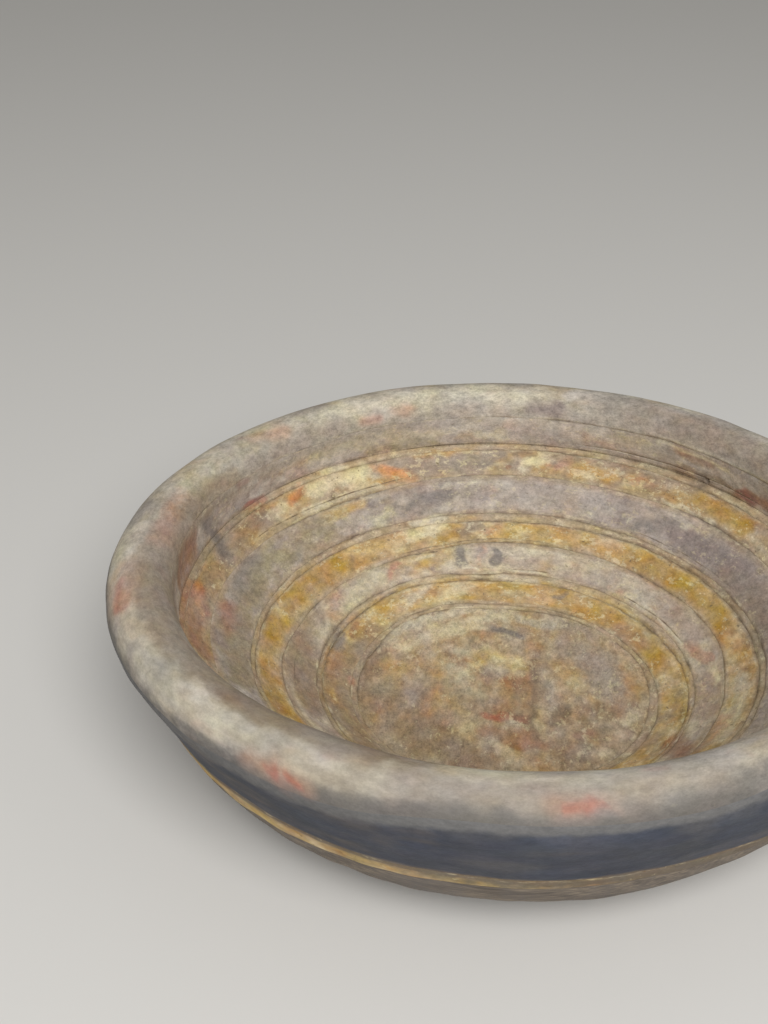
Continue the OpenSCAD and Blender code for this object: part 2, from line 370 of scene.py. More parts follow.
# %% Faint extra lines that only scratch the paint
# Coat, distance from its first edge in mm, middle azimuth and half length in degrees, depth in mm
scratches = [
    ("grey_coat", 2.6, 35, 20, 0.18), ("grey_coat", 2.2, 84, 9, 0.2),
    ("grey_coat", 12.2, 115.5, 4.5, 0.4), ("grey_coat", 11.0, -172, 12, 0.2),
    ("collar_coat", 3.0, 56, 24, 0.3), ("mauve_coat", 2.6, 42, 22, 0.16),
    ("upper_ochre_coat", 3.5, 136, 26, 0.25), ("outer_ochre_coat", 1.6, 100, 30, 0.15),
]


def scratch_depth(scratch, s, first):
    """Depth of one scratch at each column of a row at s."""
    coat, offset, azimuth, length, depth = scratch
    strength = 1 - smooth(0.55 * length, length, np.abs(from_azimuth(azimuth)))
    return depth * strength * (1 - smooth(0.1, 0.55, np.abs(s - first - offset)))


# %% [markdown]
# ## Touches of other colours
# Over the years other colours were dabbed and rubbed on: red, orange, deep gold, slate. Painting
# them as an image would tie the lesson to a file, so each dab is a short stroke given by its two
# ends, and its colour is stored on the mesh as an attribute that the paint material reads.

# %% Colours of the dabs
def linear(hex_colour):
    """An sRGB hex value as the linear numbers that Blender works in."""
    values = [int(hex_colour[i:i + 2], 16) / 255 for i in (1, 3, 5)]
    return [v / 12.92 if v <= 0.04045 else ((v + 0.055) / 1.055) ** 2.4 for v in values]


dab_colours = {
    "brick red": "#985848", "red": "#a44c3c", "crimson": "#7c3a36", "pink": "#b58975",
    "orange earth": "#cf9468", "rust": "#946548", "brown": "#6e573c", "umber": "#86725d",
    "deep gold": "#a8833f", "gold": "#bd9a5a", "yellow": "#dbd0a9", "cream": "#cfc6ae",
    "olive": "#8d8060", "celadon": "#bbb398", "chalk": "#c8c0b6", "soot": "#564b41",
    "mauve": "#968a80", "lilac": "#a39993", "plum": "#7d6f70", "slate": "#6f6a69",
    "dark slate": "#31333d", "band slate": "#72706d", "slate chalk": "#6f6c6b",
    "mauve chalk": "#a1978a", "ochre mauve": "#a59177",
}

# %% Where the dabs are
# Each dab: colour, azimuth and distance along the section of both its ends, half width in mm and
# strength. A later dab lies over the earlier ones.
# The long umber and olive strokes on the left wall, from azimuth 140 to 240, are partly old paint and
# partly painted shade.
dab_notes = {
    "On the floor": """
    slate 98 45 82 43 3.5 0.7, slate 81 54 70 54 3.5 0.6, gold 112 26 62 22 6 0.5,
    yellow 100 23 70 22 4 0.4, soot 61 26 -67 33 1.8 0.5, soot -38 30 -22 29 4.5 0.65,
    mauve 35 48 8 45 12 0.7, rust 48 6 70 9 5 0.6, brick red -112 19 -62 20 3.2 0.9,
    rust -85 36 -65 39 4.5 0.65, orange earth 155 55 147 54 4 0.5,
    rust -168 57 -159 56 3.5 0.55, cream -20 53 -12 55 4 0.6, brick red -41 43 -37 45 3 0.55,
    celadon 176 14 150 24 9 0.5, gold 130 48 165 46 9 0.45, yellow 105 50 125 52 6 0.5,
    umber -140 40 -110 45 9 0.5, mauve -20 20 40 22 6 0.4, umber -170 52 -130 52 9 0.55,
    umber -130 52 -92 50 9 0.45, umber -60 50 -15 50 9 0.5, cream 66 56 95 57 5 0.45,
    cream 100 54 150 55 7 0.5, umber -60 14 20 12 8 0.45, umber -165 18 -135 14 7 0.45,
    cream 92 61 108 61 3 0.5, cream 108 61 126 61 3 0.6, cream 126 61 144 61 3 0.6,
    rust -100 29 -70 31 6 0.5, celadon 128 34 108 33 6 0.45""",
    "On the inner ochre ring": """
    deep gold 14 71 36 71 5 0.75, deep gold 47 71 61 69 4.6 0.8, slate 69 74 72 73 2 0.5,
    umber 83 70 99 68 4 0.25, yellow 103 75 116 71 4.5 0.42, cream 118 79 130 72 3 0.55,
    gold 133 74 154 71 5 0.6, rust 154 75.5 158 73.5 2.4 0.75, slate 161.5 79 167 76 3.6 0.95,
    rust 172 73 192 69 6.5 0.65, umber 150 67 206 67 6 0.75, gold -168 74 -161 73.5 1.8 0.7,
    brick red -178 64.5 -175 64 2 0.7, rust -37 93 -29 79 6 0.65, umber 184 77 208 78 4.5 0.6,
    umber 204 71 238 71 7 0.85, umber 177 83.5 192 83.5 3 0.5, rust 30 70 42 69 4.5 0.5,
    cream 80 79 102 79 2.2 0.6""",
    "On the grey ring": """
    cream 42 92 48 86 3 0.5, orange earth 98 93 100 87 2.2 0.35, gold 108 93 120 87 5 0.5,
    pink 126 92.5 130 88 2.4 0.7, cream 118 84.5 130 84.5 2.4 0.5, rust 18 91 32 91 4 0.35,
    celadon 134 91 149 87 5.5 0.75, pink 151 91 157 87 4 0.45, umber 162 90 176 89 7 0.5,
    umber 176 89 206 88 7 0.7, pink 7.5 90 11 88 2.2 0.8, pink 13 87 18 86.5 2.8 0.9,
    brick red 14.5 87 17 86.8 1.3 0.7, rust -8 89 8 89 5 0.25, yellow -2 91 3 90 2.2 0.6,
    lilac 18 89 44 90 6 0.45, umber 186 90 200 86 7 0.5, slate 93.8 92.5 94.2 86.5 2.9 1,
    slate 104.6 92.5 104.6 86.5 3.1 1, cream 20 84.2 47 84.4 0.8 0.6,
    cream 77 84.2 90 84.2 0.8 0.7, cream 101 83.8 105 83.8 0.8 0.7,
    cream 114 92.2 119 92 1 0.6""",
    "On the outer ochre ring": """
    deep gold 14 103 27 102 5 0.75, deep gold 27 103 43 102 4.5 0.6,
    deep gold 43 103 56 102 5.5 0.9, rust 50 104 54 101 2.6 0.4, gold 58 102 64 101 4 0.6,
    gold 66 103 92 102 4 0.2, orange earth 94 106 98 103 2.6 0.45,
    umber 99 106 105 103 3.4 0.75, deep gold 106 102 111 99.5 2.4 0.6,
    yellow 109 107 119 104 3.6 0.6, orange earth 121 104 136 102 5 0.25,
    umber 137.5 105 139.5 99 1.8 0.6, deep gold 141 104 166 104 6 0.9,
    gold 168 105 172 99 2.4 0.4, deep gold 175 103 188 103 5 0.75,
    gold 190 106 193 101 2.4 0.3, deep gold 194 106 212 108 5.5 0.7,
    cream -32 103 -6 102 7 0.5, pink -32 99 -20 99 4 0.3, cream 108 111 117 111 1.8 0.8""",
    "On the mauve ring": """
    slate 2 121 44 121 9 0.55, plum 26 124 48 122 8 0.45, umber 4 118 30 118 8 0.4,
    umber 32 132.5 38 132 3 0.5, slate 50 127 56 118 5 0.5, slate 58 120 66 116 4 0.3,
    cream 43.5 128 48.5 127.8 1 0.6, cream 60.5 120.8 60.7 119.8 0.7 0.8,
    lilac 68 124 96 121 9 0.5, cream 98.5 128.6 101 128.5 0.8 0.6,
    cream 104.6 128.4 107.4 128.4 1 0.95, slate 106 126 118 119 6 0.55,
    celadon 121 119 127 117 3.4 0.6, gold 128 127 138 125.5 3.8 0.6,
    celadon 152 124 157 120 2.4 0.4, slate 162 128 173 119 6.5 0.5,
    brick red -178 129 -175 123 4 0.45, plum -176 121 -173 117 5.5 0.5,
    umber -172 128 -164 123 6 0.6, umber -178 118 -156 119 7 0.5,
    olive 140 121 206 121 9 0.58, cream 122 132.5 141 132.2 3 0.6,
    slate 164 131 176 126 4.5 0.4, brick red 180 127 188 124 4 0.4""",
    "On the patchy upper ring": """
    deep gold 35 141 42 140 5 0.85, deep gold 44 141 54 140 5.2 0.6,
    cream 42 134.8 55 135 1.1 0.6, umber 56 142 60 137 3 0.5, mauve 61 141 66 138 4 0.4,
    gold 68 140 76 139 4.2 0.75, pink 78 145 81 140 2.6 0.6,
    yellow 83.5 145 87.5 139 3.2 0.75, rust 90.5 138 91.5 136.5 1.2 0.8,
    mauve 94 144 100 135 5 0.9, mauve 100 141 112 138 6.5 0.85,
    gold 99 146.5 112 146.5 1.6 0.5, orange earth 115.5 138.5 119 144 2.4 0.85,
    orange earth 114 136 121 144 4.2 0.45, yellow 124 143.5 137 141 5 0.75,
    yellow 126 148.8 133 148.8 1.6 0.7, orange earth 138.5 146 143 140 2.8 0.6,
    yellow 145 142 150 140 4 0.5, rust 151 148 157 139 3.6 0.8,
    deep gold 157 140 163 138 5 0.6, slate 166 149 168 139 4.6 0.95,
    umber 50 145.5 90 145.5 2.4 0.5, gold 171 141 178 139 5 0.5, umber 152 141 184 140 7 0.65,
    rust -178 146 -177 140 3 0.6, gold -175 143 -172 141 3 0.5, rust -178 144 -160 138 6 0.9,
    brick red -179 143 -174 136 2.6 0.7""",
    "On the collar": """
    rust 34 157 41 153 4 0.75, crimson 37.5 154 41 155.3 2.6 0.95, umber 44 154 70 153 3 0.6,
    rust 137 154 141 156 3.4 0.7, orange earth 90 162 92 163 2.6 0.6,
    rust 49 162 55 163 4 0.5, cream 104 160 112 160 3 0.7, cream 92 156 98 157 3 0.7,
    slate 165 150 168 160 4.5 0.7, rust -184 157 -174 158 6 0.7, rust -186 163 -177 164 5 0.6,
    gold 60 158 80 160 4 0.35, lilac 60 158 90 158 6 0.6, celadon 106 159 136 159 5 0.5,
    chalk 86 163 106 163 5 0.6, chalk 128 155 152 156 4 0.5, lilac 104 164 114 164 4 0.6,
    chalk 71 162.5 83 162 4 0.6, olive 107 153.5 121 153.5 2.5 0.45,
    cream 92 157 98 156.5 2 0.7""",
    # On the near half of the rim the long mauve and brown strokes on its inner side and crest are
    # painted shade, where the roll turns from the lamp; the chalk stroke from -178 to -170 is a
    # painted highlight on the crest. The umber strokes from -180 to -172 and from 158 to 206 are
    # painted shade on the rim's inner face.
    "On the rim": """
    plum 82 171 87 172.5 4.5 0.75, chalk 58 181 80 181 5 0.5, lilac 66 172 72 172 4 0.5,
    pink 119 170 123 170.5 3 0.5, pink 57 179.5 63 180 4 0.45, pink 46 176 50 176.5 3.5 0.4,
    lilac 98 173 106 172 4 0.5, cream 94 182 101 182 4 0.4, umber 158 169.5 206 170.5 7 0.65,
    slate 38 172 70 180 8 0.5, celadon 135 178 166 182 9 0.35, cream 86 178 130 178 6 0.5,
    mauve 128 172 150 170 5 0.6, pink 140 178 146 180 4 0.45, pink 112 172 116 174 3 0.4,
    pink -120 198.5 -112.5 199.5 5 0.38, red -117.6 198 -116.4 198.6 2 0.5,
    red -114.4 199.6 -113.2 200 2 0.5, mauve -178 178 -140 179 7 0.8,
    mauve -140 178 -106 179 7 0.8, cream -176 192 -150 192 6 0.35,
    chalk -178 187 -170 187.5 4 0.6, umber -180 175 -172 176 5 0.4,
    mauve -160 182 -152 183 4 0.5, mauve 28 174 72 176 9 0.65, umber 38 173 58 177 6 0.5,
    slate -58 196 -30 192 7 0.5, mauve -101 190.5 -86 190 5 0.6,
    mauve -86 191 -72 191.5 6 0.5, mauve -72 189.5 -62 189.5 5 0.3,
    mauve -120 193.5 -101 192 5 0.4, brown -165 179.5 -128 181.5 9 0.38,
    brown -128 181.5 -100 178.5 8 0.5, pink 170 180 186 176 6 0.45""",
    "Outside": """
    umber -130 212 -118 226 8 0.2, slate chalk 160 215 190 222 9 0.5,
    rust 40 218 52 224 6 0.45, slate chalk 85 210 120 216 8 0.5,
    band slate -178 211 -138 213 11 0.5""",
    "On top of everything": """
    brick red 149.5 150.5 153.5 151 3.2 1, pink -166 189.5 -157 192.5 7 0.45,
    red -162 191.3 -157 193.5 3.8 0.55, umber 154 149.5 163 149.5 3 0.6,
    umber 169 149.5 182 149.5 3 0.75, rust 182 149.5 198 149.5 3 0.7,
    dark slate 165.5 149.5 167.5 142 3.6 0.75, crimson 153.5 165 156 164.5 2.6 0.5,
    chalk 150.5 161.5 152.5 161.5 1.6 0.6, orange earth -179 145 -173 139 3 0.45,
    plum -170 127 -166 126 3.5 0.5, brick red 139.5 143 141.5 141 2.2 0.4,
    yellow 44 163.5 60 164.5 1.2 0.55, celadon 62 161 68 162 3 0.45, pink 70 157 75 158 3 0.4,
    pink -83.5 193.4 -77 193.2 4 0.35, red -82.6 193.6 -79.4 192.8 1.8 0.7,
    red -80 194.2 -78 194 1.6 0.6""",
}
dabs = []
for note in dab_notes.values():
    for dab in note.split(","):
        *colour, a0, s0, a1, s1, half, strength = dab.split()
        dabs.append((" ".join(colour), *map(float, (a0, s0, a1, s1, half, strength))))
print(len(dabs), "dabs of", len(dab_colours), "colours")

# %% Soft joins where one coat is rubbed over the next
# On both sides of a line: its name, the mixed colour, reach in mm and strength
joins = [
    ("shoulder", "umber", 4.0, 0.5), ("rim_line", "mauve chalk", 9.0, 0.85),
    ("corner", "ochre mauve", 4.0, 0.45), ("upper", "ochre mauve", 3.0, 0.5),
    ("mauve_edge", "ochre mauve", 5.0, 0.8), ("middle_2", "ochre mauve", 3.5, 0.6),
    ("middle", "ochre mauve", 2.5, 0.5), ("grey_edge", "ochre mauve", 4.0, 0.8),
    ("lower_2", "ochre mauve", 3.5, 0.6), ("lower", "gold", 2.5, 0.5),
    ("floor_edge_2", "ochre mauve", 3.5, 0.7),
    ("floor_edge", "ochre mauve", 6.0, 0.6 - 0.5 * near(118, 35)),
]
rubbed = {name: [] for name in coats}
for line, colour, reach, strength in joins:
    for name in coats:
        if line in lines_beside[name]:
            rubbed[name].append((colour, lines[line]["s"], reach, strength))
# Then on single coats, where the rubbing differs round the bowl. The slate chalk and dark slate on the
# rim's outside darken it towards the slate band, most on the near right: partly slate wash and partly
# painted shade
near_right_shade_and_slate, front = near(-55, 48), near(-75, 45)
rim_line, shoulder_line = lines["rim_line"]["s"], lines["shoulder"]["s"]
rubbed["rim_coat"] += [
    ("slate chalk", wash_edge, 17.0, 0.8 * near_right_shade_and_slate),
    ("dark slate", wash_edge, 8.0 + 2.0 * near_right_shade_and_slate, 1.0 - 0.5 * near(-140, 28)),
    ("cream", rim_line + 0.8, 1.3, 0.9 * near(48, 14)),
]
rubbed["slate_coat"] += [("band slate", wash_edge, 11.0 - 6.0 * front, 1.0)]
# The wide dark slate over the ochre stripe on the near right is partly slate wash and partly painted
# shade
rubbed["shoulder_stripe_coat"] += [
    ("dark slate", shoulder_line, 2.4, 0.85), ("dark slate", shoulder_line, 16.0, 0.95 * near_right_shade_and_slate),
]

# %% Colour of a coat from its joins and dabs
CRUSTED = ("yellow", "cream", "gold", "celadon")  # dabs that keep flakes of an older coat


def spot(azimuth, s):
    """A point of the true surface."""
    r, z, _, _ = at(s)
    a = math.radians(azimuth)
    return np.array([float(r) * math.cos(a), float(r) * math.sin(a), float(z)])


def tinted(coat, s_rows, points):
    """Colour and cover of the dabs at each point of a piece, and how much pale crust is left."""
    tint = np.zeros((len(points), 4)) + [0.2, 0.16, 0.12, 0]
    crust = np.zeros(len(points))

    def lay(colour, cover):
        total = cover + tint[:, 3] * (1 - cover)
        safe = np.maximum(total, 1e-6)[:, None]
        old = tint[:, :3] * (tint[:, 3] * (1 - cover))[:, None]
        fresh = np.array(linear(dab_colours[colour])) * cover[:, None]
        tint[:, :3] = np.where(cover[:, None] > 0, (old + fresh) / safe, tint[:, :3])
        tint[:, 3] = total

    for colour, place, reach, strength in rubbed[coat]:
        cover = strength * (1 - smooth(0, reach, np.abs(s_rows - place)))
        lay(colour, cover.ravel())
    # The dabs' outlines are shaken by a millimetre or so
    shaken = points + 1.1 * np.stack([
        np.sin(points @ way / 2.3 + 2 * np.sin(points @ way[::-1] / 4.7))
        for way in wave_ways[:3]], -1)
    azimuth = np.degrees(np.arctan2(shaken[:, 1], shaken[:, 0]))
    radius = np.hypot(shaken[:, 0], shaken[:, 1])
    s = s_rows.ravel() + shaken[:, 2] - points[:, 2]
    for colour, a0, s0, a1, s1, half, strength in dabs:
        if coat == "floor_coat":
            # Straight strokes on the round floor
            start, end = spot(a0, s0), spot(a1, s1)
            offset, stroke = shaken - start, np.broadcast_to(end - start, shaken.shape)
        else:
            # Strokes that follow the ring, measured on the unrolled wall
            x = np.radians((azimuth - a0 + 180) % 360 - 180) * radius
            offset = np.stack([x, s - s0], -1)
            stroke = np.stack([math.radians(a1 - a0) * radius, 0 * s + s1 - s0], -1)
        share = (offset * stroke).sum(1) / np.maximum((stroke * stroke).sum(1), 1e-9)
        away = np.linalg.norm(offset - np.clip(share, 0, 1)[:, None] * stroke, axis=1)
        cover = strength * (1 - smooth(0.1 * half, 1.5 * half, away))
        lay(colour, cover)
        if colour in CRUSTED:
            crust = np.maximum(crust, cover)
    return tint, crust


# %% [markdown]
# ## One way to make every piece
# Each piece is a grid: rows along the section, columns round the bowl. A coat's rows run across its
# face and back along its underside, so the grid closes into a ring. The floor and the wood end in a
# point instead. The piece also gets a map for textures, folded so that a long thin ring
# fills a square, and the attributes that its material reads.

# %% Faces and texture map of a grid
def grid_faces(rows, n, closed):
    """Corner numbers of the faces of a grid with n columns, face by face."""
    j = np.arange(n)
    quads = []
    for i in range(rows if closed else rows - 1):
        k = (i + 1) % rows
        corners = [(i, j), (k, j), (k, (j + 1) % n), (i, (j + 1) % n)]
        quads.append(np.stack([row * n + column for row, column in corners], -1))
    return np.vstack(quads)


def folded_map(path, folds, rows, n, closed):
    """Places on a square map for every corner of grid_faces, cut into folds strips."""
    j = np.arange(n)
    strip = j * folds // n
    sideways = np.stack([j, j, j + 1, j + 1], -1) * folds / n - strip[:, None]
    places = []
    for i in range(rows if closed else rows - 1):
        across = np.array([path[i], path[i + 1], path[i + 1], path[i]])
        up = (strip[:, None] + 0.03 + 0.94 * across) / folds
        places.append(np.stack([0.002 + 0.996 * sideways, up], -1))
    return np.vstack(places)


# %% Build one piece from its rows
def build(name, rows, closed, finish, attributes):
    """A mesh from rows of points in mm, with its attributes, finish and place in the frame."""
    grid = np.array(rows)
    count, n = grid.shape[:2]
    faces = grid_faces(count, n, closed)
    mesh = bpy.data.meshes.new(name)
    ring = grid if not closed else np.concatenate([grid, grid[:1]])
    lengths = np.linalg.norm(np.diff(ring, axis=0), axis=2).mean(1)
    path = np.concatenate([[0], np.cumsum(lengths)])
    girth = 2 * math.pi * np.hypot(grid[..., 0], grid[..., 1]).max()
    folds = max(1, round(math.sqrt(girth / path[-1])))
    places = folded_map(path / path[-1], folds, count, n, closed)
    points = grid.reshape(-1, 3) * MM
    if closed:
        mesh.from_pydata(points.tolist(), [], faces.tolist())
    else:
        # A grid that ends in points: its first and last row are one vertex each
        keep = np.concatenate([[0], np.arange(n, (count - 1) * n), [(count - 1) * n]])
        number = np.zeros(count * n, int)
        number[keep] = np.arange(len(keep))
        number[:n], number[(count - 1) * n:] = 0, len(keep) - 1
        shapes, kept = [], []
        for i, face in enumerate(number[faces].tolist()):
            for corner in range(4):
                if corner == 0 or face[corner] not in face[:corner]:
                    kept.append(4 * i + corner)
            shapes.append(list(dict.fromkeys(face)))
        places = places.reshape(-1, 2)[kept]
        mesh.from_pydata(points[keep].tolist(), [], shapes)
        attributes = {k: v[keep] for k, v in attributes.items()}
    texture_map = mesh.uv_layers.new(name="OFBake")
    texture_map.uv.foreach_set("vector", places.astype(np.float32).ravel())
    kinds = {1: ("FLOAT", "value"), 3: ("FLOAT_VECTOR", "vector"), 4: ("FLOAT_COLOR", "color")}
    for key, values in attributes.items():
        kind, field = kinds[1 if values.ndim == 1 else values.shape[1]]
        layer = mesh.attributes.new(key, kind, "POINT")
        layer.data.foreach_set(field, values.astype(np.float32).ravel())
    mesh.polygons.foreach_set("use_smooth", np.ones(len(mesh.polygons), bool))
    mesh.set_sharp_from_angle(angle=math.radians(42))
    mesh.materials.append(finish)
    piece = bpy.data.objects.new(name, mesh)
    bpy.context.scene.collection.objects.link(piece)
    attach(piece, "root")
    return piece


# %% [markdown]
# ## Mixing materials from nodes
# Every finish here is a tree of nodes. One small function adds a node, gives it its settings and
# links its sockets, so that the recipe of a paint reads from top to bottom like a list. A MapRange
# node takes a value, the low and high it comes from, and the low and high it goes to.

# %% Add one node
FACTOR, FROM, TO, MIXED = 0, 6, 7, 2  # the sockets of a Mix node for colours
SOFT = {"interpolation_type": "SMOOTHSTEP"}


def add(tree, kind, sockets=(), stops=(), **settings):
    """Add a node and return its outputs. Its sockets come by name, or as a list from the first on.
    Each one is set to a value, or linked where the value is another node's output."""
    node = tree.nodes.new("ShaderNode" + kind)
    for key, value in settings.items():
        setattr(node, key, value)
    for key, value in sockets.items() if isinstance(sockets, dict) else enumerate(sockets):
        if isinstance(value, bpy.types.NodeSocket):
            tree.links.new(value, node.inputs[key])
        else:
            node.inputs[key].default_value = value
    for i, (place, colour) in enumerate(stops):
        elements = node.color_ramp.elements
        stop = elements[i] if i < 2 else elements.new(place)
        stop.position, stop.color = place, (*linear(colour), 1)
    return node.outputs


def per(size_mm):
    """Noise scale for patches of about that size, since coordinates are in metres."""
    return 1 / (size_mm * MM)


def new_material(name):
    material = bpy.data.materials.new(name)
    material.use_nodes = True
    tree = material.node_tree
    tree.nodes.clear()
    return material, tree


# %% [markdown]
# ## Dry earth paint, brushed thin and worn
# The paint is earth pigment in a lean binder, brushed on thin. It dries chalky: no gloss, soft
# edges, brush streaks round the ring, cloudy patches where one thin coat shows through another,
# and a fine grain where the wood's pores take it up. Small pale flakes of an older coat are left
# in clusters. Dirt sits in the lines and in specks, and the raised edges are rubbed pale. One
# function mixes all of that, and each colour of paint only differs in its recipe.

# %% The paint's tree of nodes
DIRT, RUBBED, CRUST = "#5a4b35", "#d6caa8", "#d9cca4"
VEIL = 0.25  # share of dust over all the colours


def earth_paint(name, tones, clouds, cloud_mm=9.0, grain=0.26, rough=0.86, dust="#ad9a7f",
                stretch=(0.72, 0.72, 1.0), crust=0.55):
    """tones: dark to light ground colours. clouds: (colour, size in mm, threshold, strength)."""
    material, tree = new_material(name)
    ring = add(tree, "Attribute", attribute_name="ring")["Vector"]
    dab = add(tree, "Attribute", attribute_name="dab")
    edge, older, coarse = [add(tree, "Attribute", attribute_name=key)["Fac"]
                           for key in ("edge_mm", "crust", "coarse")]
    across, drawn_out, round_it = [
        add(tree, "Mapping", {"Vector": ring, "Scale": scale})["Vector"]
        for scale in (stretch, (0.2, 0.2, 1.0), (0.05, 0.05, 1.0))]

    # Noises: the way they are drawn out, size in mm, detail, roughness, and a shift for some.
    # The clouds' noises are numbered
    noises = [
        ("mottle", across, cloud_mm, 2.5, 0.55), ("grit", across, 3.2, 3.5, 0.95),
        ("ragged", across, 4.5, 2.5, 0.6), ("flake", across, 2.2, 3.0, 0.65, 21),
        ("speck", ring, 1.5, 1.0, 0.5, 5), ("flecks", drawn_out, 1.7, 3.0, 0.65),
        ("brushful", across, 9.0, 2.5, 0.55), ("marks", round_it, 1.6, 3.0, 0.6)]
    for i, (_, size, _, _) in enumerate(clouds):
        noises.append((i, across, size, 2.5, 0.55, 3.7 * i + len(name)))
    noise = {}
    for key, way, size, detail, harsh, *shift in noises:
        sockets = {"Vector": way, "Scale": per(size), "Detail": detail, "Roughness": harsh}
        if shift:
            sockets["W"] = shift[0]
        outputs = add(tree, "TexNoise", sockets, noise_dimensions="4D" if shift else "3D")
        noise[key] = outputs["Color" if key == "brushful" else "Fac"]

    # Cloudy ground, from dark to light
    places = np.linspace(0.25, 0.75, len(tones))
    colour = add(tree, "ValToRGB", {"Fac": noise["mottle"]}, zip(places, tones))["Color"]

    # What lies over the ground is listed as cover and colour, from the lowest layer up.
    # First thin clouds of other colours
    layers = []
    for i, (hue, _, threshold, strength) in enumerate(clouds):
        cover = add(tree, "MapRange", [
            noise[i], threshold - 0.07, threshold + 0.11, 0, strength], **SOFT)[0]
        layers.append((cover, hue))

    # Dabs of other paint, ragged at their edges
    torn = add(tree, "Math", [noise["ragged"], 0.8, dab["Alpha"]], operation="MULTIPLY_ADD")[0]
    cover = add(tree, "MapRange", [torn, 0.45, 1.15, 0, 0.92], **SOFT)[0]
    some = add(tree, "MapRange", [dab["Alpha"], 0.02, 0.3])[0]
    cover = add(tree, "Math", [cover, some], operation="MULTIPLY")[0]
    layers.append((cover, dab["Color"]))

    # A crust of pale flakes, clustered where the last cloud and the pale dabs are, and specks of dirt
    flake = noise["flake"]
    for amount, share in ((older, 0.15), (noise[len(clouds) - 1], 0.4)):
        flake = add(tree, "Math", [amount, share, flake], operation="MULTIPLY_ADD")[0]
    flake = add(tree, "MapRange", [flake, 0.78, 0.835, 0, crust])[0]
    speck = add(tree, "MapRange", [noise["speck"], 0.69, 0.75, 0, 1.4 * crust])[0]
    layers += [(flake, CRUST), (speck, DIRT)]

    # Pale rubbing beside the lines and dirt in them, both broken by a noise
    for reach, inner, gap, hue in (
            (2.6, 0.9, [noise["flecks"], 0.52, 0.66, 0, 0.7], RUBBED),
            (2.0, 0.0, [noise["ragged"], 0.64, 0.36, 0.25, 1], DIRT)):
        cover = add(tree, "MapRange", [edge, reach, inner], **SOFT)[0]
        gaps = add(tree, "MapRange", gap)[0]
        cover = add(tree, "Math", [cover, gaps], operation="MULTIPLY")[0]
        layers.append((cover, hue))

    # A veil of dust draws all the colours together
    layers.append((VEIL, dust))
    for cover, over in layers:
        over = (*linear(over), 1) if isinstance(over, str) else over
        colour = add(tree, "Mix", {FACTOR: cover, FROM: colour, TO: over}, data_type="RGBA")[MIXED]

    # Each brushful differs a little in hue and strength, and the grain in light. The grain is
    # about as strong at 3 mm as at a third of one
    parts = add(tree, "SeparateColor", {"Color": noise["brushful"]})
    hue, strength = [
        add(tree, "MapRange", [parts[i], 0.3, 0.7, low, high])[0]
        for i, (low, high) in enumerate(((0.486, 0.514), (0.8, 1.2)))]
    darkest, lightest = [
        add(tree, "Math", [coarse, reach, 1.0], operation="MULTIPLY_ADD")[0]
        for reach in (-grain, grain)]
    light = add(tree, "MapRange", [noise["grit"], 0.35, 0.65, darkest, lightest])[0]
    colour = add(tree, "HueSaturation", {
        "Hue": hue, "Saturation": strength, "Value": light, "Color": colour})["Color"]

    # Chalky surface: rough all over, a little more so where the ground is light
    roughness = add(tree, "MapRange", [noise["mottle"], 0.3, 0.7, rough - 0.1, rough + 0.08])[0]
    relief = noise["grit"]
    for height, share in ((noise["marks"], 0.35), (flake, 0.5)):
        relief = add(tree, "Math", [height, share, relief], operation="MULTIPLY_ADD")[0]
    normal = add(tree, "Bump", {"Height": relief, "Strength": 0.5, "Distance": 0.5 * MM})["Normal"]
    shader = add(tree, "BsdfPrincipled", {
        "Base Color": colour, "Roughness": roughness, "IOR": 1.48, "Specular IOR Level": 0.3,
        "Normal": normal})["BSDF"]
    add(tree, "OutputMaterial", {"Surface": shader})
    return material


# %% [markdown]
# ## The recipes
# Yellow and brown ochre, chalk white dirtied to grey, a mauve made of red earth and slate, and a dark
# slate outside. Each recipe lists the ground from dark to light and the clouds that lie over it.

